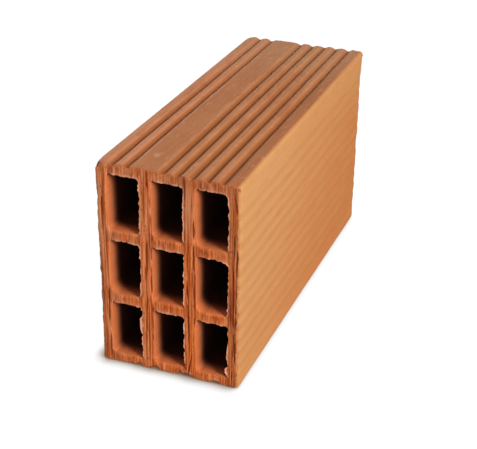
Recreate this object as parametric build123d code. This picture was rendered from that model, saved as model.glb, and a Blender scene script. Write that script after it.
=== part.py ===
from build123d import *
import os

# Hollow clay brick, extruded with nine tubes and wire-cut to length. Millimetres.
# X runs across the cut end, Y along the tubes, Z up; the origin is the middle of the face it lies on.

# Format
brick_width = 120.0
brick_height = 180.0
brick_length = 330.0
arris_radius = 4.0  # the four long outer edges

# Tubes: a grid of equal cells between the walls and webs
cell_columns = 3
cell_rows = 3
side_wall = 9.6  # left and right walls
upright_web = 9.9
bed_wall = 8.8  # top and bottom walls
level_web = 8.6
cell_corner_radius = 4.0

# Keying grooves, all at one tooth pitch along the brick
rib_pitch = 12.15
groove_mouth = 8.0
groove_floor = 1.2
groove_floor_radius = 0.8

# Top and bottom: a pair of deep grooves, a smooth band, then a group of five
bed_groove_depth = 2.5
bed_shoulder_radius = 5.0
bed_left_band = 13.8  # edge to the middle of the first groove
bed_left_groove_count = 2
bed_right_band = 15.2
bed_right_groove_count = 5

# Sides: shallow, soft grooves from the upper band down
side_groove_depth = 0.6
side_shoulder_radius = 12.0
side_upper_band = 26.6
side_lower_band = 18.0  # at least this much stays plain

cell_width = (brick_width - 2 * side_wall - (cell_columns - 1) * upright_web) / cell_columns
cell_height = (brick_height - 2 * bed_wall - (cell_rows - 1) * level_web) / cell_rows
side_groove_count = int((brick_height - side_upper_band - side_lower_band) / rib_pitch) + 1


def groove_row(first, count, step=rib_pitch):
    """Middles of a row of grooves, measured along the face."""
    return [first + step * i for i in range(count)]


def keyed_face(start, along, inward, middles, depth, shoulder_radius):
    """Outline corners of one grooved face, each with its rounding radius, from the face's first edge."""
    corners = [(start, arris_radius)]
    for middle in middles:
        for offset, cut, radius in (
            (-groove_mouth / 2, 0, shoulder_radius),
            (-groove_floor / 2, depth, groove_floor_radius),
            (groove_floor / 2, depth, groove_floor_radius),
            (groove_mouth / 2, 0, shoulder_radius),
        ):
            corners.append((start + along * (middle + offset) + inward * cut, radius))
    return corners


def bed_face(start, along, inward, middles):
    return keyed_face(start, along, inward, middles, bed_groove_depth, bed_shoulder_radius)


def side_face(start, along, inward, middles):
    return keyed_face(start, along, inward, middles, side_groove_depth, side_shoulder_radius)


left, right = -brick_width / 2, brick_width / 2
to_right, to_left, up, down = Vector(1, 0), Vector(-1, 0), Vector(0, 1), Vector(0, -1)

bed_from_left = groove_row(bed_left_band, bed_left_groove_count) + sorted(
    groove_row(brick_width - bed_right_band, bed_right_groove_count, -rib_pitch)
)
bed_from_right = sorted(brick_width - middle for middle in bed_from_left)
side_from_top = groove_row(side_upper_band, side_groove_count)
side_from_bottom = sorted(brick_height - middle for middle in side_from_top)

outline = (
    bed_face(Vector(left, 0), to_right, up, bed_from_left)
    + side_face(Vector(right, 0), up, to_left, side_from_bottom)
    + bed_face(Vector(right, brick_height), to_left, down, bed_from_right)
    + side_face(Vector(left, brick_height), down, to_right, side_from_top)
)

corners, corner_radii = zip(*outline)

with BuildPart() as hollow_brick:
    with BuildSketch(Plane.XZ):
        with BuildLine():
            FilletPolyline(*corners, radius=list(corner_radii), close=True)
        make_face()
        with Locations((0, brick_height / 2)):
            with GridLocations(cell_width + upright_web, cell_height + level_web, cell_columns, cell_rows):
                RectangleRounded(cell_width, cell_height, cell_corner_radius, mode=Mode.SUBTRACT)
    extrude(amount=brick_length / 2, both=True)

os.makedirs("parts", exist_ok=True)
export_step(hollow_brick.part, "parts/hollow_brick.step")
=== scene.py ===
import itertools
import math
from dataclasses import dataclass

import bpy
import numpy as np
from mathutils import Matrix, Vector
from mathutils.geometry import delaunay_2d_cdt


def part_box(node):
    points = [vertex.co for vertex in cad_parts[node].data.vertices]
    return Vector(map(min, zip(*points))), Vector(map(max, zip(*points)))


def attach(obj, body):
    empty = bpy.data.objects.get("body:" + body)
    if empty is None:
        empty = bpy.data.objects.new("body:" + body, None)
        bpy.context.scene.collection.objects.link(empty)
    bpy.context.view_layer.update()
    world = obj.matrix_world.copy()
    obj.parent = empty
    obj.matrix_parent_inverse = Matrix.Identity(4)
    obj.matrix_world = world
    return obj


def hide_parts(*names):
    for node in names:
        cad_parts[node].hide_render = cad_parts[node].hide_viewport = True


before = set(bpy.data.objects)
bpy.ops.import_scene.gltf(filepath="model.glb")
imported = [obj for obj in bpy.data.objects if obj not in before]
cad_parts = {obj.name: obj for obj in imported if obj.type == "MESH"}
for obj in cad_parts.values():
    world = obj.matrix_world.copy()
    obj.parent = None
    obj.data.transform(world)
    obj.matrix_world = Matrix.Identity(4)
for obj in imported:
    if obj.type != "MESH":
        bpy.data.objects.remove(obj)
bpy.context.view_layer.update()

# The section, in millimetres, in the part's frame: X across the cut end, Y along the tubes, Z up
low, high = (np.array(corner) * 1000 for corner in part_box("hollow_brick"))
WIDTH, LENGTH, HEIGHT = high - low
COLUMNS, ROWS = 3, 3
SIDE_WALL, UPRIGHT_WEB = 9.6, 9.9
BED_WALL, LEVEL_WEB = 8.8, 8.6
CELL_W = (WIDTH - 2 * SIDE_WALL - (COLUMNS - 1) * UPRIGHT_WEB) / COLUMNS
CELL_H = (HEIGHT - 2 * BED_WALL - (ROWS - 1) * LEVEL_WEB) / ROWS
CELL_RADII = (3.4, 2.2, 2.4, 2.0)  # of a tube's corners, from the lower left, anticlockwise
DRAGGED_CELLS = {  # radii of the tubes (column, row) that the wire pulled out of square
    (0, 1): (7.0, 4.5, 3.0, 4.0),
    (1, 2): (4.0, 2.0, 3.8, 2.0),
    (2, 1): (6.5, 4.0, 3.5, 2.4),
    (2, 2): (5.0, 3.5, 6.5, 2.0),
}
ARRIS = 4.0  # radius of the four long edges
RIB_PITCH, MOUTH, FLOOR_W, FLOOR_R = 12.15, 8.0, 1.2, 0.8
BED_DEPTH, SIDE_DEPTH = 2.5, 0.6
SHOULDER_R = {BED_DEPTH: 5.0, SIDE_DEPTH: 12.0}
LEFT_BAND, RIGHT_BAND, UPPER_BAND = 13.8, 15.2, 26.6  # edge to the middle of the first groove
BED_GROOVES = [LEFT_BAND + RIB_PITCH * i for i in range(2)]
BED_GROOVES += [WIDTH - RIGHT_BAND - RIB_PITCH * i for i in reversed(range(5))]
SIDE_GROOVES = [UPPER_BAND + RIB_PITCH * i for i in range(12)]

NEAR, FAR = range(2)  # the two cut ends; the photograph shows the near one, at -Y
BOTTOM, RIGHT, TOP, LEFT = range(4)  # the faces of the outline and of each tube
SKIN, CUT, TUBE = range(3)  # material slots


# Repeatable waves
LOW_BITS = np.uint64(0xFFFFFFFF)
SEED_FACTOR, STIR_FACTOR = 0x9E3779B1, np.uint64(0x2C1B3C6D)
CELL_FACTORS = (0x85EBCA6B, 0xC2B2AE35, 0x27D4EB2F)


def hashed(seed, *cells):
    """A repeatable random value from -1 to 1 at each whole-numbered cell."""
    value = np.full(cells[0].shape, (seed * SEED_FACTOR) & 0xFFFFFFFF, dtype=np.uint64)
    for cell, factor in zip(cells, CELL_FACTORS):
        cell = cell.astype(np.int64).astype(np.uint64) & LOW_BITS
        value = ((value ^ cell) * np.uint64(factor)) & LOW_BITS
        value ^= value >> np.uint64(15)
        value = (value * STIR_FACTOR) & LOW_BITS
        value ^= value >> np.uint64(12)
    return (value & np.uint64(0xFFFF)).astype(float) / 32767.5 - 1


def noise(seed, *coords):
    """Smooth random waves from -1 to 1, about one wave a unit."""
    coords = np.broadcast_arrays(*(np.asarray(c, float) for c in coords))
    base = [np.floor(c) for c in coords]
    fade = [(c - b) ** 2 * (3 - 2 * (c - b)) for c, b in zip(coords, base)]
    total = np.zeros(coords[0].shape)
    for corner in itertools.product((0, 1), repeat=len(coords)):
        weight = np.ones(coords[0].shape)
        for c, f in zip(corner, fade):
            weight = weight * (f if c else 1 - f)
        total += weight * hashed(seed, *(b + c for b, c in zip(base, corner)))
    return total


def layers(seed, waves, x, y):
    """A sum of waves, each given as (height, size along x, size along y) in mm, with seeds that count up."""
    return sum(
        height * noise(seed + i, x / x_size, y / y_size) for i, (height, x_size, y_size) in enumerate(waves)
    )


def smooth(edge0, edge1, value):
    """0 before edge0 and 1 past edge1, with a soft step between."""
    t = np.clip((value - edge0) / (edge1 - edge0), 0, 1)
    return t * t * (3 - 2 * t)


def bell(distance, reach):
    """1 at no distance, fading to nothing past about twice the reach."""
    return np.exp(-((distance / reach) ** 2))


# Section loops
@dataclass
class Loop:
    """A closed loop of the section: (x, z) points, outward normals and each point's face."""

    points: np.ndarray
    normals: np.ndarray
    tags: np.ndarray

    def __post_init__(self):
        self.x, self.z = self.points.T
        step = np.linalg.norm(np.roll(self.points, -1, axis=0) - self.points, axis=1)
        self.run = np.concatenate([[0], np.cumsum(step)[:-1]])  # length travelled round the loop


def corner_arc(before, corner, after, radius, arc_step):
    """Points and outward normals round one corner of an anticlockwise loop, one every arc_step degrees."""
    d1, d2 = corner - before, after - corner
    d1, d2 = d1 / np.linalg.norm(d1), d2 / np.linalg.norm(d2)
    turn = math.atan2(d1[0] * d2[1] - d1[1] * d2[0], d1 @ d2)
    side = 1 if turn > 0 else -1
    back = radius * math.tan(abs(turn) / 2)
    centre = corner - d1 * back + side * radius * np.array([-d1[1], d1[0]])
    start = math.atan2(-side * d1[0], side * d1[1])
    count = max(1, math.ceil(abs(turn) / math.radians(arc_step)))
    arc = []
    for k in range(count + 1):
        angle = start + turn * k / count
        ray = np.array([math.cos(angle), math.sin(angle)])
        arc.append((centre + radius * ray, side * ray))
    return arc


def rounded_loop(corners, level_step, upright_step, arc_step):
    """A loop through (point, radius, tag) corners, anticlockwise. A tag names the face after its corner.
    The steps are the longest on level and on upright faces, in mm, and the largest turn, in degrees."""
    n = len(corners)
    arcs = []
    for i, (corner, radius, _) in enumerate(corners):
        arcs.append(corner_arc(corners[i - 1][0], corner, corners[(i + 1) % n][0], radius, arc_step))
    points, normals, tags = [], [], []
    for i, (_, _, tag) in enumerate(corners):
        for point, normal in arcs[i]:
            points.append(point)
            normals.append(normal)
            tags.append(tag)
        (start, normal), (end, _) = arcs[i][-1], arcs[(i + 1) % n][0]
        step = level_step if tag in (BOTTOM, TOP) else upright_step
        count = max(1, math.ceil(np.linalg.norm(end - start) / step))
        for k in range(1, count):
            points.append(start + (end - start) * k / count)
            normals.append(normal)
            tags.append(tag)
    return Loop(np.array(points), np.array(normals), np.array(tags))


def keyed_face(start, along, inward, middles, depth, tag):
    """Corners of one grooved face of the outline, from its first edge."""
    start, along, inward = (np.array(v, float) for v in (start, along, inward))
    corners = [(start, ARRIS, tag)]
    for middle in middles:
        for offset, cut, radius in (
            (-MOUTH / 2, 0, SHOULDER_R[depth]),
            (-FLOOR_W / 2, depth, FLOOR_R),
            (FLOOR_W / 2, depth, FLOOR_R),
            (MOUTH / 2, 0, SHOULDER_R[depth]),
        ):
            corners.append((start + along * (middle + offset) + inward * cut, radius, tag))
    return corners


def outer_loop():
    w, h = WIDTH / 2, HEIGHT
    from_right = sorted(WIDTH - m for m in BED_GROOVES)
    from_bottom = sorted(HEIGHT - m for m in SIDE_GROOVES)
    corners = (
        keyed_face((-w, 0), (1, 0), (0, 1), BED_GROOVES, BED_DEPTH, BOTTOM)
        + keyed_face((w, 0), (0, 1), (-1, 0), from_bottom, SIDE_DEPTH, RIGHT)
        + keyed_face((w, h), (-1, 0), (0, -1), from_right, BED_DEPTH, TOP)
        + keyed_face((-w, h), (0, -1), (1, 0), SIDE_GROOVES, SIDE_DEPTH, LEFT)
    )
    return rounded_loop(corners, level_step=1.4, upright_step=2.2, arc_step=14)


def cell_loop(column, row):
    x0 = -WIDTH / 2 + SIDE_WALL + column * (CELL_W + UPRIGHT_WEB)
    z0 = BED_WALL + row * (CELL_H + LEVEL_WEB)
    x1, z1 = x0 + CELL_W, z0 + CELL_H
    radii = DRAGGED_CELLS.get((column, row), CELL_RADII)
    places = ((x0, z0), (x1, z0), (x1, z1), (x0, z1))
    tags = (BOTTOM, RIGHT, TOP, LEFT)
    corners = [(np.array(place), radius, tag) for place, radius, tag in zip(places, radii, tags)]
    return rounded_loop(corners, level_step=0.65, upright_step=1.0, arc_step=11)


# Relief of the cuts
CUT_SEEDS = (7, 57)  # near, far
CUT_BACK = 0.45  # mean depth of the cut below the section's end
DRAG_MARKS = [(0.35, 45, 60), (0.05, 1.1, 34), (0.13, 2.4, 52), (0.18, 5.5, 70)]
WEB_DIP = 0.30  # how much deeper the level webs lie
WEB_HATCH = [(0.06, 1.3, 7.0), (0.09, 3.0, 5.0)]
UPRIGHT_GRIT = [(0.04, 1.6, 4.0)]
LUMP_HEIGHT = 0.25
UPRIGHTS = [  # middles of the four upright walls and webs
    -WIDTH / 2 + SIDE_WALL / 2,
    *(-WIDTH / 2 + SIDE_WALL + CELL_W * (i + 1) + UPRIGHT_WEB * (i + 0.5) for i in range(COLUMNS - 1)),
    WIDTH / 2 - SIDE_WALL / 2,
]
UPRIGHT_HALVES = (4.6, 6.2)  # from a middle to where the upright's relief starts to fade, and to its end

# Drying cracks of the near cut: half width, then the route down the face as (x, z).
# The far cut has them mirrored.
CRACKS = [
    (0.42, (-55.7, 162), (-55.6, 140), (-55.3, 120)),
    (0.50, (-53.0, 69), (-53.5, 52), (-53.0, 33)),
    (0.42, (-52.6, 27), (-52.4, 4)),
    (0.75, (-17.4, 170), (-16.3, 158), (-14.7, 148)),
    (0.60, (-14.2, 142), (-13.8, 112), (-14.6, 103), (-14.4, 72)),
    (0.50, (-19.6, 96), (-19.2, 60), (-20.0, 36)),
    (0.60, (-14.7, 61), (-14.1, 42), (-14.6, 28)),
    (0.55, (21.6, 145), (21.0, 106), (22.2, 92), (22.0, 70), (21.4, 50)),
    (0.55, (22.0, 26), (21.6, 4)),
    (0.50, (18.7, 23), (15.2, 2)),
    (0.45, (15.6, 92), (16.4, 44)),
    (0.45, (24.4, 178), (24.8, 171)),
    (0.45, (27.0, 178), (27.2, 171)),
    (
        0.48, (53.7, 172), (56.0, 162), (56.8, 150), (57.2, 139),
        (56.9, 120), (56.6, 61), (55.8, 52), (55.6, 24),
    ),
    (0.50, (54.8, 138), (54.7, 120)),
    (0.42, (54.4, 108), (54.1, 61), (54.5, 40), (53.6, 6)),
]
CRACK_SPREAD = 1.15  # how much wider a crack opens than its half width says
CRACK_DEPTH = 0.65


def crack_field(x, z, end):
    """How far each point lies in a crack, from 0 to 1."""
    field = np.zeros(x.shape)
    if end == FAR:
        x = -x
    for number, (half, *route) in enumerate(CRACKS):
        seed = CUT_SEEDS[end] + 200 * number
        route_x, route_z = np.array(route[::-1]).T
        line = np.interp(z, route_z, route_x)
        line += 0.35 * noise(seed, z / 14.0) + 0.18 * noise(seed + 40, z / 4.0)
        width = CRACK_SPREAD * half * (1 + 0.45 * noise(seed + 80, z / 9.0))
        open_here = smooth(-0.75, -0.1, noise(seed + 120, z / 9.0))
        open_here *= smooth(route_z[0] - 2, route_z[0] + 4, z)
        open_here *= 1 - smooth(route_z[-1] - 4, route_z[-1] + 2, z)
        field = np.maximum(field, open_here * (1 - smooth(width * 0.45, width * 1.5, np.abs(x - line))))
    return field


def upright_share(x):
    """1 on the uprights, 0 across the level webs between them."""
    share = np.zeros(x.shape)
    for middle in UPRIGHTS:
        share = np.maximum(share, 1 - smooth(*UPRIGHT_HALVES, np.abs(x - middle)))
    return share


def cut_relief(x, z, end):
    """Height of a wire-cut face above its plane, in mm, and how far each point lies in a crack."""
    seed = CUT_SEEDS[end]
    on_upright = upright_share(x)
    height = layers(seed + 200, DRAG_MARKS, x, z) - CUT_BACK
    height += (1 - on_upright) * (layers(seed + 204, WEB_HATCH, x, z) - WEB_DIP)
    height += on_upright * layers(seed + 206, UPRIGHT_GRIT, x, z)
    height += LUMP_HEIGHT * np.maximum(0, noise(seed + 207, x / 3.0, z / 9.0) - 0.55)
    crack = crack_field(x, z, end)
    return height - CRACK_DEPTH * crack, crack


# Pale scrapes on the near cut, as (x, z), and on the top, as (x, y): middle, half sizes and strength.
# The far cut has its own mirrored.
CUT_SPOTS = [
    (-13.8, 145.5, 1.6, 3.4, 1.0), (17, 150, 2.6, 26, 0.35), (39, 4.2, 6, 2.2, 0.6), (15, 4.6, 6, 1.8, 0.5),
]
TOP_SPOTS = [(13.3, -146, 2.8, 7, 0.55), (-21, -137, 3.2, 3.6, 0.45), (-21, 124, 2.6, 5, 0.35)]


def patches(spots, x, y):
    """How strongly the pale scrapes cover each point."""
    field = np.zeros(x.shape)
    for middle_x, middle_y, half_x, half_y, strength in spots:
        away = np.hypot((x - middle_x) / half_x, (y - middle_y) / half_y)
        field = np.maximum(field, strength * (1 - smooth(0.55, 1.15, away)))
    return field


# Edges of the cuts
@dataclass
class Edge:
    """What the wire did round one mouth: a value for each point or one for all, with lengths in mm."""

    shift: np.ndarray  # in the plane of the cut, away from the clay
    lift: np.ndarray  # off the face
    reach: np.ndarray  # how far along the brick both fade out
    pale: np.ndarray = 0.0  # torn fringe, past 1 where it is chalky
    drawn: np.ndarray = 0.0  # drawn smooth
    tear: np.ndarray = 0.0  # torn roof of a tube
    smear: np.ndarray = 0.0  # how far clay was wiped across the grooves, down or, below 0, up
    broken: np.ndarray = 0.0  # chipped off, and painted dark there as shade


# Larger burrs of each tube (column, row), at both cuts: x, z, reach and how far they stand into the hollow
BURRS = {
    (0, 0): [(-23.4, 41, 11, 1.9)],
    (0, 1): [(-23.4, 70, 4, 0.7)],
    (1, 1): [(13.5, 72, 5, 0.7)],
    (1, 2): [(13.5, 128, 4, 0.8)],
    (2, 0): [(50.4, 15.5, 4.5, 2.4), (50.4, 30, 5, 0.9)],
    (2, 1): [(48.5, 114.2, 5, 1.3)],
}
CHALKY_BURR = 1.5  # a burr that stands out further than this is chalky
DRAWN_BACK = 0.55  # how far the smooth edges of a mouth were drawn back, and off the face

# The outline at a cut: how far its edge is worn back, and how much of the grooves is wiped shut
EDGE_WEAR, NICK_DEPTH = 0.20, 1.3
RIGHT_EDGE_WEAR = 1.30
BROKEN_CORNER, BROKEN_REACH = 1.3, (1.5, 6.5)  # at the upper left
FOOT_SHARE, TOP_SHARE = 0.96, 0.45

# Chips along the foot of the near cut, mirrored at the far one: middle, half length and height
FOOT_CHIPS = [(-28, 3.5, 1.6), (-14, 4.5, 2.4), (14, 8.0, 2.2), (39, 5.5, 1.9)]


def cell_edge(loop, cell, seed):
    """A tube's mouth. The wire tore a fringe on its top and right edges and drew the other two smooth."""
    run = loop.run
    roof = np.clip(loop.normals[:, 1], 0, 1) ** 2
    torn = smooth(0.15, 0.6, np.clip(loop.normals[:, 0], 0, 1) ** 2 + roof)
    torn *= smooth(0.5, 3.8, loop.x - loop.x.min())
    fringe = 0.42 + 0.44 * noise(seed, run / 2.2) + 0.36 * noise(seed + 1, run / 4.6)
    fringe += 0.30 * noise(seed + 2, run / 1.1)
    fringe = np.clip(fringe + 0.20 * noise(seed + 4, run / 11), -0.5, 1.5)
    chalk = np.zeros(len(run))
    for x, z, reach, amount in BURRS.get(cell, []):
        burr = 1 - smooth(reach * 0.35, reach, np.hypot(loop.x - x, loop.z - z))
        fringe = fringe * (1 - 0.6 * burr) + amount * burr
        chalk = np.maximum(chalk, burr * (amount > CHALKY_BURR))
    drawn = (0.08 * noise(seed + 3, run / 9) - DRAWN_BACK) * smooth(-1.0, 7.0, loop.z.max() - loop.z)
    shift = torn * fringe + (1 - torn) * drawn
    return Edge(
        shift=shift,
        lift=torn * (0.10 + 0.25 * np.clip(fringe, 0, 2)) - (1 - torn) * DRAWN_BACK,
        reach=np.where(shift > 0, 0.55, 0.9),
        pale=torn * smooth(-0.1, 0.9, fringe) * (1 - 0.45 * roof) + 0.8 * chalk,
        drawn=1 - torn,
        tear=torn * roof,
    )


def outer_edge(loop, end, seed):
    """The outline at a cut: worn, chipped at the foot, broken at the upper left, grooves part wiped shut."""
    run, tags = loop.run, loop.tags
    down = np.clip(-loop.normals[:, 1], 0, 1) * (tags == BOTTOM)
    rightward = np.clip(loop.normals[:, 0], 0, 1) * (tags == RIGHT)
    leftward = np.clip(-loop.normals[:, 0], 0, 1) * (tags == LEFT)

    # Wear all round with a few nicks, and a rougher foot
    shift = -EDGE_WEAR + 0.12 * noise(seed, run / 2.6) + 0.14 * noise(seed + 1, run / 1.2)
    shift -= NICK_DEPTH * np.clip(noise(seed + 2, run / 9) - 0.45, 0, 1)
    shift -= down * (0.1 + 0.4 * np.clip(noise(seed + 3, run / 4.5), 0, 1))

    # Chips along the foot
    mirrored = loop.x if end == NEAR else -loop.x
    chipped = np.zeros(len(run))
    for middle, half, height in FOOT_CHIPS:
        chip = down * (1 - smooth(half * 0.6, half, np.abs(mirrored - middle)))
        shift -= height * chip * (0.75 + 0.35 * noise(seed + 7, run / 1.3))
        chipped = np.maximum(chipped, chip)

    # The worn right edge, the broken corner and the ragged left edge below it
    shift -= rightward * (RIGHT_EDGE_WEAR + 0.35 * noise(seed + 4, run / 14))
    corner = 1 - smooth(*BROKEN_REACH, np.hypot(loop.x + WIDTH / 2, loop.z - HEIGHT))
    shift -= BROKEN_CORNER * corner
    lift = 0.25 * shift - 0.15
    worn_left = leftward * smooth(135, 172, loop.z) * smooth(-0.4, 0.3, noise(seed + 9, run / 3.5))
    shift -= worn_left * (0.35 + 0.35 * noise(seed + 10, run / 1.8))

    # Clay wiped across the grooves
    reach = np.clip(1.9 + 1.1 * noise(seed + 5, run / 12), 0.8, 4)
    smear = np.clip(FOOT_SHARE + 0.30 * noise(seed + 6, run / 6), 0, 1) * loop.z * (tags == BOTTOM)
    smear -= TOP_SHARE * (1 + 0.5 * noise(seed + 8, run / 6)) * (HEIGHT - loop.z) * (tags == TOP)
    between_arrises = smooth(ARRIS, ARRIS + 1.5, WIDTH / 2 - np.abs(loop.x))
    return Edge(
        shift=shift,
        lift=lift,
        reach=reach + 1.8 * corner + 0.8 * rightward + 2.0 * chipped,
        smear=smear * between_arrises,
        # Where chipped and broken, the edge is painted dark as shade
        broken=np.maximum(np.maximum(corner, chipped), 0.55 * worn_left),
    )


# Mesh
class Shell:
    """Vertices, faces and per-vertex marks, gathered before they become one mesh."""

    MARKS = ("crack", "burr", "groove", "worn", "tear", "rim", "spot", "web")

    def __init__(self):
        self.places, self.faces, self.slots = [], [], []
        self.marks = {name: [] for name in self.MARKS}
        self.count = 0

    def add(self, places, **marks):
        """Adds vertices in mm, with marks for all or for each, and returns their numbers."""
        n = len(places)
        self.places.append(np.asarray(places, float))
        for name in self.MARKS:
            self.marks[name].append(np.broadcast_to(np.asarray(marks.get(name, 0.0), float), (n,)))
        self.count += n
        return np.arange(self.count - n, self.count)

    def add_faces(self, rows, slot):
        self.faces.extend(rows.tolist())
        self.slots.extend([slot] * len(rows))

    def mesh(self, name):
        mesh = bpy.data.meshes.new(name)
        mesh.from_pydata((np.concatenate(self.places) / 1000).tolist(), [], self.faces)
        mesh.polygons.foreach_set("material_index", self.slots)
        for mark in self.MARKS:
            attribute = mesh.attributes.new("clay_" + mark, "FLOAT", "POINT")
            attribute.data.foreach_set("value", np.concatenate(self.marks[mark]).astype(np.float32))
        mesh.update()
        mesh.validate()
        mesh.shade_smooth()
        mesh.set_sharp_from_angle(angle=math.radians(62))
        return mesh


# Walls, from cut to cut
END_DEPTHS = [0, 0.45, 1.1, 2.1, 3.8]  # rings near each cut
CUT_FOLLOW, FOLLOW_REACH = 0.6, 9  # how much, and how far in, the rings behind a cut follow its relief
EDGE_SEED = 1000
LIFT_DEPTH = 0.5  # the rings nearer to the cut than this are lifted with its edge
SMEAR_REACH = 2.6  # how far along the brick the wire wiped clay across the grooves


class Outline:
    """The extruded skin."""

    number = 0
    slot, outward = SKIN, 1
    depths, middle_step = END_DEPTHS, 6.2
    SWELLS = [(0.26, 42, 120), (0.10, 9, 34), (0.05, 2.6, 7), (0.05, 5, 3.6)]  # height, size round and along
    WORN_BACK = 0.22
    SEED = 300

    def __init__(self):
        self.loop = outer_loop()
        x, z, tags = self.loop.x, self.loop.z, self.loop.tags
        on_bed = (tags == BOTTOM) | (tags == TOP)
        depth = np.select(
            [tags == BOTTOM, tags == RIGHT, tags == TOP, tags == LEFT],
            [
                z / BED_DEPTH,
                (WIDTH / 2 - x) / SIDE_DEPTH,
                (HEIGHT - z) / BED_DEPTH,
                (WIDTH / 2 + x) / SIDE_DEPTH,
            ],
        )
        from_arris = np.where(on_bed, WIDTH / 2 - np.abs(x), np.minimum(z, HEIGHT - z))
        self.groove = np.clip(depth, 0, 1) * smooth(ARRIS, ARRIS + 2, from_arris)
        self.on_bed = on_bed

    def edge(self, end, seed):
        return outer_edge(self.loop, end, seed)

    def relief(self, y, depth):
        """How far the skin stands out from the section, in mm. The sides' grooves are part filled."""
        run = self.loop.run
        out = layers(self.SEED, self.SWELLS, run, y) - self.WORN_BACK
        wear = 0.5 + 0.5 * noise(self.SEED + 4, run / 6, y / 26)
        fill = 0.22 + 0.14 * noise(self.SEED + 5, run / 14, y / 55)
        return out + self.groove * np.where(self.on_bed, -0.16 * wear, fill)

    def marks(self, y, depth):
        spot = patches(TOP_SPOTS, self.loop.x, np.full(len(self.loop.x), y)) * (self.loop.tags == TOP)
        return {"groove": self.groove, "rim": bell(depth, 2.4), "spot": spot}


class Tube:
    """One tube's wall."""

    slot, outward = TUBE, -1
    depths, middle_step = END_DEPTHS + [8, 16, 32, 75], 60
    SWELLS = [(0.25, 16, 130)]
    GRAIN = [(0.03, 1.8, 60)]
    STRAIGHT = 6  # how far in the waves are still weak

    def __init__(self, column, row):
        self.cell = (column, row)
        self.number = 1 + row * COLUMNS + column
        self.loop = cell_loop(column, row)

    def edge(self, end, seed):
        return cell_edge(self.loop, self.cell, seed)

    def relief(self, y, depth):
        run = self.loop.run
        wall = layers(400 + self.number, self.SWELLS, run, y) + layers(420 + self.number, self.GRAIN, run, y)
        return wall * (1 - np.exp(-depth / self.STRAIGHT))

    def marks(self, y, depth):
        return {"rim": 0.0}


def stations(depths, middle_step):
    """Places along the brick as (y, depth from the nearer cut), close together near both cuts."""
    inner = LENGTH / 2 - depths[-1]
    count = max(1, round(2 * inner / middle_step))
    middle = [-inner + 2 * inner * k / count for k in range(1, count)]
    return (
        [(depth - LENGTH / 2, depth) for depth in depths]
        + [(y, LENGTH / 2 - abs(y)) for y in middle]
        + [(LENGTH / 2 - depth, depth) for depth in reversed(depths)]
    )


def sweep(shell, wall):
    """Runs a wall from cut to cut and returns its mouth at each end: outline, vertices and marks."""
    loop, n = wall.loop, len(wall.loop.points)
    edges = [wall.edge(end, EDGE_SEED + 500 * end + 20 * wall.number) for end in (NEAR, FAR)]
    cuts = [cut_relief(loop.x, loop.z, end) for end in (NEAR, FAR)]
    rings, mouths = [], {}
    for y, depth in stations(wall.depths, wall.middle_step):
        end = NEAR if y < 0 else FAR
        edge, (height, crack) = edges[end], cuts[end]
        at_cut = depth == 0
        fade = bell(depth, edge.reach)
        out = wall.relief(y, depth) + edge.shift * fade
        flat = loop.points + wall.outward * loop.normals * out[:, None]
        flat[:, 1] -= edge.smear * bell(depth, SMEAR_REACH)
        follow = np.exp(-depth / FOLLOW_REACH) * (1 if at_cut else CUT_FOLLOW)
        past_cut = follow * height + edge.lift * fade * (depth < LIFT_DEPTH)
        along = (-1 if end == NEAR else 1) * (LENGTH / 2 - depth + past_cut)
        places = np.stack([flat[:, 0], along, np.maximum(flat[:, 1], 0.0)], 1)
        marks = wall.marks(y, depth)
        ids = shell.add(
            places,
            burr=edge.pale * bell(depth, 0.7),
            worn=edge.drawn * bell(depth, 1.2),
            tear=edge.tear * at_cut,
            # The crack mark also carries painted shade where the outline is chipped or broken
            crack=np.maximum(crack * at_cut, 0.9 * edge.broken * bell(depth, 2.6)),
            web=1 - upright_share(loop.x),
            **marks,
        )
        rings.append(ids)
        if at_cut:
            values = {name: getattr(edge, name) for name in ("pale", "drawn", "tear", "broken")}
            values["rim"] = marks["rim"]
            mouths[end] = {name: np.broadcast_to(value, (n,)) for name, value in values.items()}
            mouths[end].update(flat=places[:, [0, 2]], ids=ids)
    for a, b in zip(rings[:-1], rings[1:]):
        quads = np.stack([a, b, np.roll(b, -1), np.roll(a, -1)], 1)
        shell.add_faces(quads if wall.outward > 0 else quads[:, [0, 3, 2, 1]], wall.slot)
    return mouths


# Faces of the cuts
GRID_X, GRID_Z = 0.5, 1.5  # the cut's triangles are three times as tall as wide, like its marks
STRETCH = np.array([1.0, GRID_X / GRID_Z])
GRID_JITTER = 0.22  # share of a step
GRID_CLEARANCE = 0.30  # from the mouths
CHUNK = 2000  # points compared at once, to bound the memory


def inside(points, loop):
    """Which points lie inside a closed loop."""
    result = np.zeros(len(points), bool)
    a, b = loop, np.roll(loop, -1, axis=0)
    rise = np.where(b[:, 1] == a[:, 1], 1e-12, b[:, 1] - a[:, 1])
    for start in range(0, len(points), CHUNK):
        p = points[start:start + CHUNK]
        px, pz = p[:, :1], p[:, 1:]
        straddle = (a[:, 1] > pz) != (b[:, 1] > pz)
        cross = a[:, 0] + (pz - a[:, 1]) * (b[:, 0] - a[:, 0]) / rise
        result[start:start + CHUNK] = (straddle & (px < cross)).sum(1) % 2 == 1
    return result


def in_clay(points, outline, *tubes):
    """Which points lie inside the outline and outside every tube."""
    keep = inside(points, outline)
    for tube in tubes:
        keep &= ~inside(points, tube)
    return keep


def nearest(points, targets):
    """Each point's nearest target and its distance."""
    index, gap = np.zeros(len(points), int), np.zeros(len(points))
    for start in range(0, len(points), CHUNK):
        d = np.linalg.norm(points[start:start + CHUNK, None] - targets[None], axis=2)
        index[start:start + CHUNK] = d.argmin(1)
        gap[start:start + CHUNK] = d.min(1)
    return index, gap


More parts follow.
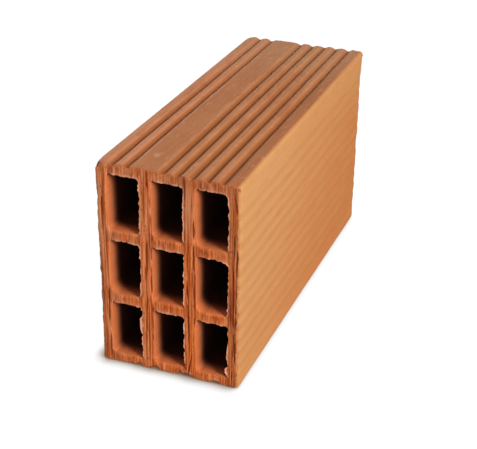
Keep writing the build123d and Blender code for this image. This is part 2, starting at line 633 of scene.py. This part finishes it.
def jittered_grid(seed):
    """A triangular grid over the whole cut, a little disordered."""
    zs = np.arange(0, HEIGHT, GRID_Z)
    gx, gz = np.meshgrid(np.arange(-WIDTH / 2, WIDTH / 2, GRID_X), zs)
    gx = gx + np.where(np.arange(len(zs)) % 2, GRID_X / 2, 0)[:, None]
    cell = (np.round(gx / GRID_X * 2), np.round(gz / GRID_Z))
    gx = gx + GRID_JITTER * GRID_X * hashed(seed + 1, *cell)
    gz = gz + GRID_JITTER * GRID_Z * hashed(seed + 2, *cell)
    return np.stack([gx.ravel(), gz.ravel()], 1)


def cut_face(shell, mouths, end):
    """Fills the clay between the mouths, the outline's first, with fine triangles and carves it."""
    loops = [mouth["flat"] for mouth in mouths]
    flat, ids, pale, drawn, tear, rim, broken = (
        np.concatenate([mouth[name] for mouth in mouths])
        for name in ("flat", "ids", "pale", "drawn", "tear", "rim", "broken")
    )
    outward = -1 if end == NEAR else 1

    grid = jittered_grid(CUT_SEEDS[end])
    grid = grid[in_clay(grid, *loops)]
    index, gap = nearest(grid * STRETCH, flat * STRETCH)
    grid, index = grid[gap > GRID_CLEARANCE], index[gap > GRID_CLEARANCE]
    away = np.linalg.norm(grid - flat[index], axis=1)
    near = bell(away, 1.0 + 1.6 * np.clip(pale[index] - 1, 0, 1))  # chalky burrs whiten the cut further in
    height, crack = cut_relief(grid[:, 0], grid[:, 1], end)
    height -= 0.40 * drawn[index] * bell(away, 0.9)
    carved = shell.add(
        np.stack([grid[:, 0], outward * (LENGTH / 2 + height), grid[:, 1]], 1),
        # The crack mark also carries painted shade where the outline is chipped or broken
        crack=np.maximum(crack, broken[index] * bell(away, 1.3)),
        burr=pale[index] * near,
        worn=drawn[index] * near,
        tear=tear[index] * bell(away, 3.4),
        rim=rim[index] * bell(away, 1.6),
        spot=patches(CUT_SPOTS, -outward * grid[:, 0], grid[:, 1]),
        web=1 - upright_share(grid[:, 0]),
    )

    edges, first = [], 0
    for loop in loops:
        n = len(loop)
        edges += [(first + i, first + (i + 1) % n) for i in range(n)]
        first += n
    known = [Vector(place) for place in np.concatenate([flat, grid]) * STRETCH]
    vertices, _, triangles, sources, _, _ = delaunay_2d_cdt(known, edges, [], 0, 1e-6)
    settled = np.array([v[:] for v in vertices]) / STRETCH
    triangles = np.array([t for t in triangles if len(t) == 3])
    triangles = triangles[in_clay(settled[triangles].mean(1), *loops)]
    known_ids = np.concatenate([ids, carved])
    where = np.array([known_ids[rows[0]] if rows else -1 for rows in sources])
    for i in np.unique(triangles):
        if where[i] < 0:  # a vertex that the triangulation added where two edges cross
            x, z = settled[i]
            height, crack = cut_relief(settled[i:i + 1, 0], settled[i:i + 1, 1], end)
            where[i] = shell.add([[x, outward * (LENGTH / 2 + height[0]), z]], crack=crack)[0]
    triangles = where[triangles]
    shell.add_faces(triangles if end == NEAR else triangles[:, ::-1], CUT)


def build_brick():
    shell = Shell()
    walls = [Outline()] + [Tube(column, row) for row in range(ROWS) for column in range(COLUMNS)]
    mouths = [sweep(shell, wall) for wall in walls]
    for end in (NEAR, FAR):
        cut_face(shell, [mouth[end] for mouth in mouths], end)
    brick = bpy.data.objects.new("brick_body", shell.mesh("brick_body"))
    bpy.context.scene.collection.objects.link(brick)
    return brick


# Node trees
class Nodes:
    """Short calls for one node tree."""

    def __init__(self, tree):
        self.tree = tree

    def new(self, kind, **settings):
        node = self.tree.nodes.new(kind)
        for key, value in settings.items():
            setattr(node, key, value)
        return node

    def put(self, value, socket):
        """Links a socket into another one, or sets a plain value on it."""
        if isinstance(value, bpy.types.NodeSocket):
            self.tree.links.new(value, socket)
        else:
            socket.default_value = value

    def math(self, operation, a, b=0.0, clamp=False):
        node = self.new("ShaderNodeMath", operation=operation, use_clamp=clamp)
        self.put(a, node.inputs[0])
        self.put(b, node.inputs[1])
        return node.outputs[0]

    def both(self, a, b):
        return self.math("MULTIPLY", a, b)

    def span(self, value, low, high, to_low=0.0, to_high=1.0):
        """A soft step from to_low, where the value is at low, to to_high, where it is at high."""
        node = self.new("ShaderNodeMapRange", interpolation_type="SMOOTHSTEP")
        self.put(value, node.inputs["Value"])
        for key, number in (("From Min", low), ("From Max", high), ("To Min", to_low), ("To Max", to_high)):
            node.inputs[key].default_value = number
        return node.outputs["Result"]

    def mix(self, factor, a, b, blend="MIX"):
        node = self.new("ShaderNodeMix", data_type="RGBA", blend_type=blend)
        self.put(factor, node.inputs["Factor"])
        for value, key in ((a, "A"), (b, "B")):
            socket = next(s for s in node.inputs if s.name == key and s.type == "RGBA")
            self.put(value if isinstance(value, bpy.types.NodeSocket) else (*value, 1.0), socket)
        return next(s for s in node.outputs if s.type == "RGBA")

    def mix_shaders(self, factor, shader, other):
        node = self.new("ShaderNodeMixShader")
        for value, socket in zip((factor, shader, other), node.inputs):
            self.put(value, socket)
        return node.outputs[0]

    def seen(self):
        """1 for what the camera sees, straight or in a gloss, and 0 for light on the brick."""
        path = self.new("ShaderNodeLightPath")
        return self.math("MAXIMUM", path.outputs["Is Camera Ray"], path.outputs["Is Glossy Ray"])


class Material(Nodes):
    """A material's nodes, with places on the object in its own frame."""

    def __init__(self, name, specular, roughness=0.5):
        self.material = bpy.data.materials.new(name)
        self.material.use_nodes = True
        super().__init__(self.material.node_tree)
        self.shader = self.tree.nodes["Principled BSDF"]
        self.shader.inputs["Specular IOR Level"].default_value = specular
        self.shader.inputs["Roughness"].default_value = roughness
        self.object = self.new("ShaderNodeTexCoord").outputs["Object"]
        split = self.new("ShaderNodeSeparateXYZ")
        self.put(self.object, split.inputs[0])
        self.x, self.y, self.z = split.outputs

    def waves(self, size, detail=3.0, roughness=0.55, offset=(0, 0, 0), distortion=0.0):
        """Noise whose waves measure size = (x, y, z) millimetres."""
        mapping = self.new("ShaderNodeMapping")
        mapping.inputs["Scale"].default_value = [1000.0 / s for s in size]
        mapping.inputs["Location"].default_value = offset
        self.put(self.object, mapping.inputs["Vector"])
        node = self.new("ShaderNodeTexNoise")
        node.inputs["Scale"].default_value = 1.0
        node.inputs["Detail"].default_value = detail
        node.inputs["Roughness"].default_value = roughness
        node.inputs["Distortion"].default_value = distortion
        self.put(mapping.outputs[0], node.inputs["Vector"])
        return node.outputs["Fac"]

    def zone(self, place, start, full):
        """A soft zone along an axis: 0 up to start and 1 past full, in mm."""
        return self.span(place, start / 1000, full / 1000)

    def mark(self, name):
        """One of the shell's marks."""
        return self.new("ShaderNodeAttribute", attribute_name="clay_" + name).outputs["Fac"]

    def between(self, where, shade, other):
        """One shade where the value is 0 and the other where it is 1."""
        return self.mix(where, srgb(shade), srgb(other))

    def paint(self, colour, where, shade, share=1.0):
        """Covers a share of the colour with a shade, as far as the value says where."""
        return self.mix(self.math("MULTIPLY", where, share, clamp=True), colour, srgb(shade))

    def tint(self, colour, where, shade):
        """Multiplies the colour by a linear shade."""
        return self.mix(where, colour, shade, "MULTIPLY")

    def bumps(self, *heights):
        """Bump from (waves, distance in metres, strength), one after the other."""
        normal = None
        for height, distance, strength in heights:
            node = self.new("ShaderNodeBump")
            node.inputs["Strength"].default_value = strength
            node.inputs["Distance"].default_value = distance
            self.put(height, node.inputs["Height"])
            if normal is not None:
                self.put(normal, node.inputs["Normal"])
            normal = node.outputs["Normal"]
        self.put(normal, self.shader.inputs["Normal"])


def srgb(shade):
    """A colour given from 0 to 255 as it shows on screen, made linear."""
    shares = (c / 255 for c in shade)
    return tuple(s / 12.92 if s <= 0.04045 else ((s + 0.055) / 1.055) ** 2.4 for s in shares)


# Clay
def cut_clay():
    """The wire-cut face: raw orange clay dragged up and down, with brown cracks and pale torn edges."""
    m = Material("fired_clay_cut", specular=0.25)
    web, tear, rim, burr = (m.mark(name) for name in ("web", "tear", "rim", "burr"))
    bands = m.waves((4.0, 9, 80), 2, 0.5, offset=(3, 1, 2))
    lines = m.waves((1.5, 9, 50), 2, 0.5)
    threads = m.waves((0.9, 9, 36), 2, 0.5, offset=(2, 4, 8))
    hatch = m.waves((1.9, 9, 7), 3, offset=(1, 9, 4), distortion=0.4)
    cloud = m.waves((12, 26, 16), 3, offset=(7, 3, 5), distortion=0.4)
    ochre = m.waves((4.5, 9, 14), 3, offset=(4, 8, 1), distortion=0.5)
    grit = m.waves((1.4, 1.5, 2.6), 2, 0.6, offset=(6, 2, 9))
    crumbs = m.waves((2.0, 9, 3.2), 3, offset=(5, 5, 7))

    # Bands of raw clay, pinker in clouds and yellower in patches
    colour = m.between(m.span(bands, 0.40, 0.60), (186, 88, 34), (214, 114, 60))
    colour = m.paint(colour, m.span(cloud, 0.44, 0.60), (208, 124, 82), m.span(web, 0, 1, 0.30, 0.65))
    colour = m.paint(colour, m.span(ochre, 0.54, 0.66), (208, 116, 40), 0.50)

    # Drag lines, dark and light, stronger on the uprights
    colour = m.paint(colour, m.span(lines, 0.53, 0.62), (128, 48, 12), m.span(web, 0, 1, 0.90, 0.30))
    colour = m.paint(colour, m.span(lines, 0.46, 0.37), (240, 156, 104), 0.60)
    colour = m.paint(colour, m.span(threads, 0.56, 0.66), (134, 50, 12), m.span(web, 0, 1, 0.70, 0.25))
    colour = m.paint(colour, m.span(threads, 0.44, 0.36), (244, 166, 116), 0.50)

    # Short hatching on the level webs, and grit
    hatched = m.both(m.both(web, m.span(hatch, 0.52, 0.62)), m.span(cloud, 0.58, 0.44))
    colour = m.paint(colour, hatched, (146, 60, 20), 0.65)
    colour = m.paint(colour, m.span(grit, 0.60, 0.68), (128, 50, 16), 0.55)

    # Torn roofs and drawn edges of the tubes
    colour = m.paint(colour, tear, (222, 142, 104), 0.40)
    torn_hatch = m.both(m.both(tear, m.span(hatch, 0.50, 0.57)), m.span(ochre, 0.44, 0.56))
    colour = m.paint(colour, torn_hatch, (144, 66, 30), 0.70)
    colour = m.paint(colour, m.mark("worn"), (228, 136, 84), 0.55)

    # Uneven firing: warmer inside and below, browner to the right, duller at the outer walls
    inner = m.both(m.zone(m.x, -52, -30), m.zone(m.x, 52, 46))
    right, right_wall = m.zone(m.x, -6, 12), m.zone(m.x, 50.5, 53)
    upper_wall = m.both(right_wall, m.both(m.zone(m.z, 100, 112), m.zone(m.z, 150, 138)))
    colour = m.tint(colour, m.both(inner, m.zone(m.z, 150, 85)), (1.15, 1.02, 0.86))
    colour = m.tint(colour, m.both(right, m.zone(m.z, 170, 110)), (1.0, 0.94, 0.74))
    colour = m.tint(colour, m.both(right, m.zone(m.z, 115, 150)), (0.88, 0.88, 0.86))
    colour = m.tint(colour, right_wall, (0.88, 0.83, 0.74))
    colour = m.tint(colour, upper_wall, (0.90, 0.88, 0.86))
    colour = m.tint(colour, m.both(m.zone(m.x, -50, -52), m.zone(m.z, 85, 65)), (0.96, 0.88, 0.80))

    # The outline's crumbling rim, scrapes, torn burrs with chalky tips, and cracks, whose mark also carries
    # painted shade in the broken chips along the outline
    outer = m.between(m.zone(m.x, 52, 58), (198, 120, 76), (216, 148, 94))
    outer = m.paint(outer, m.zone(m.x, -52, -58), (210, 152, 116))
    colour = m.mix(m.both(rim, 0.65), colour, outer)
    colour = m.paint(colour, m.both(rim, m.span(crumbs, 0.54, 0.62)), (128, 66, 34), 0.65)
    colour = m.paint(colour, m.mark("spot"), (232, 160, 120), 0.85)
    colour = m.paint(colour, burr, (236, 188, 162), 0.92)
    colour = m.paint(colour, m.span(burr, 0.90, 1.25), (250, 228, 212), 0.95)
    # Dark cracks, and painted shade where the outline is chipped or broken
    colour = m.paint(colour, m.mark("crack"), (108, 42, 14), 0.92)

    m.put(colour, m.shader.inputs["Base Color"])
    m.put(m.span(bands, 0.3, 0.7, 0.78, 0.95), m.shader.inputs["Roughness"])
    m.bumps((lines, 0.0004, 0.5), (grit, 0.0003, 0.5))
    return m.material


def skin_clay():
    """The extruded skin: pinkish brown beds with ribs painted lighter as highlight, paler sides, painted
    shade in the grooves and dust on the ribs.
    """
    m = Material("fired_clay_skin", specular=0.12)
    half = WIDTH / 2
    flank = m.zone(m.math("ABSOLUTE", m.x), half - 3.6, half - 0.6)
    streak = m.waves((2.2, 60, 2.2), 4)
    grain = m.waves((1.3, 2.0, 1.3), 3, offset=(5, 2, 8))
    cloud = m.waves((30, 46, 30), 4, offset=(2, 6, 1), distortion=0.6)
    stain = m.waves((7, 30, 7), 4, offset=(8, 8, 3), distortion=0.4)
    dust = m.waves((4, 13, 4), 4, 0.6, offset=(9, 3, 6))

    # Beds: a brown band, with painted highlight making the ribs to its right lighter and those to its left
    # the lightest, and paler towards the far end
    cloudy = m.span(cloud, 0.36, 0.64)
    band = m.between(cloudy, (182, 115, 74), (190, 125, 83))
    band = m.paint(band, m.zone(m.x, 46, 49), (174, 110, 70))
    # Painted highlight: the ribs lighter than the band
    ribs = m.between(cloudy, (184, 119, 80), (196, 133, 92))
    bed = m.mix(m.both(m.zone(m.x, -13, -8), m.zone(m.x, 49, 46)), band, ribs)
    # Painted highlight: the ribs to the left the lightest
    bed = m.paint(bed, m.zone(m.x, -27, -31), (203, 135, 97))
    bed = m.paint(bed, m.span(stain, 0.52, 0.70), (168, 98, 60), 0.4)
    bed = m.paint(bed, m.zone(m.y, 20, 165), (190, 144, 108), 0.55)
    bed = m.paint(bed, m.span(dust, 0.54, 0.72), (222, 164, 124), 0.35)

    # Sides: dusty at the near end and near the top
    dusty = m.zone(m.math("SUBTRACT", m.y, m.z), 100, -320)
    dusty = m.math("MAXIMUM", dusty, m.both(m.zone(m.z, 100, 180), 0.7))
    side = m.between(dusty, (194, 120, 64), (202, 147, 93))
    side = m.paint(side, m.span(cloud, 0.40, 0.64), (204, 144, 90), 0.3)
    side = m.paint(side, m.span(stain, 0.52, 0.72), (186, 118, 66), 0.3)

    # Streaks, grain, painted shade in the grooves that fades to the far end, raw clay at the rim, scrapes,
    # and painted shade in the breaks
    colour = m.mix(flank, bed, side)
    colour = m.paint(colour, m.span(streak, 0.40, 0.70), (232, 166, 122), 0.12)
    colour = m.paint(colour, m.span(grain, 0.56, 0.72), (150, 84, 50), 0.26)
    # Painted shade in the grooves, weaker on the sides and towards the far end
    painted_groove_shade = m.both(m.span(m.mark("groove"), 0.04, 0.66), m.span(flank, 0, 1, 0.80, 0.12))
    colour = m.paint(colour, painted_groove_shade, (148, 82, 34), m.span(m.y, -0.100, 0.165, 1.0, 0.55))
    colour = m.paint(colour, m.mark("rim"), (198, 108, 66), m.span(flank, 0, 1, 0.60, 0.0))
    colour = m.paint(colour, m.both(m.mark("spot"), m.span(dust, 0.40, 0.56)), (228, 188, 152), 0.9)
    # Dark cracks, and painted shade in the chips and broken edges near the cuts
    colour = m.paint(colour, m.mark("crack"), (74, 38, 22))

    m.put(colour, m.shader.inputs["Base Color"])
    m.put(m.span(cloud, 0.3, 0.7, 0.72, 0.92), m.shader.inputs["Roughness"])
    m.bumps((streak, 0.0004, 0.5), (grain, 0.0003, 0.6))
    return m.material


def tube_clay():
    """The tubes' walls, drawn smooth by the cores, with painted shade darkening them away from the cuts."""
    m = Material("fired_clay_tube", specular=0.3, roughness=0.8)
    streak = m.waves((1.6, 70, 1.6), 4)
    cloud = m.waves((22, 40, 22), 3, offset=(4, 4, 4))
    depth = m.math("SUBTRACT", LENGTH / 2000, m.math("ABSOLUTE", m.y))
    colour = m.between(m.span(streak, 0.34, 0.66), (198, 106, 59), (205, 115, 67))
    colour = m.paint(colour, m.span(cloud, 0.4, 0.66), (190, 98, 54), 0.4)
    # Painted shade: the walls go near black deep inside the tubes, away from the cuts
    colour = m.paint(colour, m.zone(depth, 2, 18), (60, 24, 9))
    colour = m.paint(colour, m.mark("burr"), (216, 150, 118), 0.7)
    m.put(colour, m.shader.inputs["Base Color"])
    m.bumps((streak, 0.0001, 0.2))
    return m.material


# Stage
FLOOR_HALF = 4.0
FLOOR_DROP = 0.00005  # keeps the floor clear of the brick's lower face
FLOOR_GREY = (0.45, 0.45, 0.45, 1.0)
# Reach of the contact shadow that is painted into the floor's white from ambient occlusion
SHADOW_REACH = 0.0135
SHADOW_LEAN = (0.62, 0.30, 0.72)  # towards the key lamp, so the painted contact shadow falls to the left and front
PAINTED_SHADOW_TINT = (1.0, 0.66, 0.46)  # painted warm tint of the contact shadow, standing in for the brick's bounce light
LAMP_COLOUR = (1.0, 0.98, 0.95)
LIT_SHARE = 0.12  # how much of the floor's real light the camera sees in its white
WHITE = (1.0, 1.0, 1.0)
AMBIENT = 0.10


def white_floor():
    """A floor that reads white to the camera, with the brick's contact shadow painted in from ambient
    occlusion, and a share of its real light and shadow.
    """
    s = FLOOR_HALF
    mesh = bpy.data.meshes.new("floor")
    mesh.from_pydata([(-s, -s, 0), (s, -s, 0), (s, s, 0), (-s, s, 0)], [], [(0, 1, 2, 3)])
    floor = bpy.data.objects.new("floor", mesh)
    floor.location.z = -FLOOR_DROP
    bpy.context.scene.collection.objects.link(floor)

    m = Material("stage_white", specular=0.0, roughness=0.9)
    m.shader.inputs["Base Color"].default_value = FLOOR_GREY
    shadow = m.new("ShaderNodeAmbientOcclusion", samples=12)
    shadow.inputs["Distance"].default_value = SHADOW_REACH
    leaning = m.new("ShaderNodeCombineXYZ")
    for axis, share in zip("XYZ", SHADOW_LEAN):
        leaning.inputs[axis].default_value = share
    m.put(leaning.outputs[0], shadow.inputs["Normal"])
    glow = m.new("ShaderNodeEmission")
    # Painted contact shadow: the floor's white glow darkens and warms with the ambient occlusion under the
    # brick
    m.put(m.mix(m.span(shadow.outputs["AO"], 0.2, 0.85), PAINTED_SHADOW_TINT, WHITE), glow.inputs["Color"])
    m.put(m.span(shadow.outputs["AO"], 0.22, 0.985, 0.16, 1.13), glow.inputs["Strength"])
    plain = m.shader.outputs[0]
    white = m.mix_shaders(LIT_SHARE, glow.outputs[0], plain)
    m.put(m.mix_shaders(m.seen(), plain, white), m.tree.nodes["Material Output"].inputs["Surface"])
    mesh.materials.append(m.material)


def white_world():
    """A world that is white to the camera and lights the brick only faintly."""
    world = bpy.data.worlds.new("studio")
    world.use_nodes = True
    bpy.context.scene.world = world
    nodes = Nodes(world.node_tree)
    background = world.node_tree.nodes["Background"]
    background.inputs["Color"].default_value = (*WHITE, 1.0)
    nodes.put(nodes.span(nodes.seen(), 0, 1, AMBIENT, 1.0), background.inputs["Strength"])


def lamp(name, azimuth, elevation, distance, size, power):
    """An area lamp aimed at the brick's middle. Azimuth 0 is in front, positive to the right."""
    data = bpy.data.lights.new(name, "AREA")
    data.shape = "DISK"
    data.size = size
    data.energy = power
    data.color = LAMP_COLOUR
    a, e = math.radians(azimuth), math.radians(elevation)
    target = Vector((0, 0, HEIGHT / 2000))
    place = target + distance * Vector((math.sin(a) * math.cos(e), -math.cos(a) * math.cos(e), math.sin(e)))
    light = bpy.data.objects.new(name, data)
    light.location = place
    light.rotation_euler = (place - target).to_track_quat("Z", "Y").to_euler()
    bpy.context.scene.collection.objects.link(light)


def camera():
    """The photograph's view: its place, the way it looks and its lens, from a fit to the brick's corners."""
    place = Vector((0.3180, -0.8499, 0.5301))
    forward = Vector((-0.3148, 0.8293, -0.4617)).normalized()
    right = Vector((0.9325, 0.3609, 0.0123))
    right = (right - forward * right.dot(forward)).normalized()
    up = right.cross(forward)
    data = bpy.data.cameras.new("camera")
    data.lens, data.sensor_width = 84.48, 36.0
    data.clip_start, data.clip_end = 0.02, 50
    view = bpy.data.objects.new("camera", data)
    view.matrix_world = Matrix.Translation(place) @ Matrix((right, up, -forward)).transposed().to_4x4()
    bpy.context.scene.collection.objects.link(view)
    bpy.context.scene.camera = view


brick = build_brick()
for material in (skin_clay(), cut_clay(), tube_clay()):
    brick.data.materials.append(material)
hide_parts("hollow_brick")
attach(brick, "root")

white_floor()
white_world()
lamp("key", azimuth=60, elevation=24, distance=2.4, size=0.80, power=59)
lamp("fill", azimuth=5, elevation=80, distance=2.6, size=1.3, power=16)
lamp("back", azimuth=228, elevation=7, distance=2.6, size=0.5, power=42)
camera()
bpy.context.scene.view_settings.view_transform = "Standard"
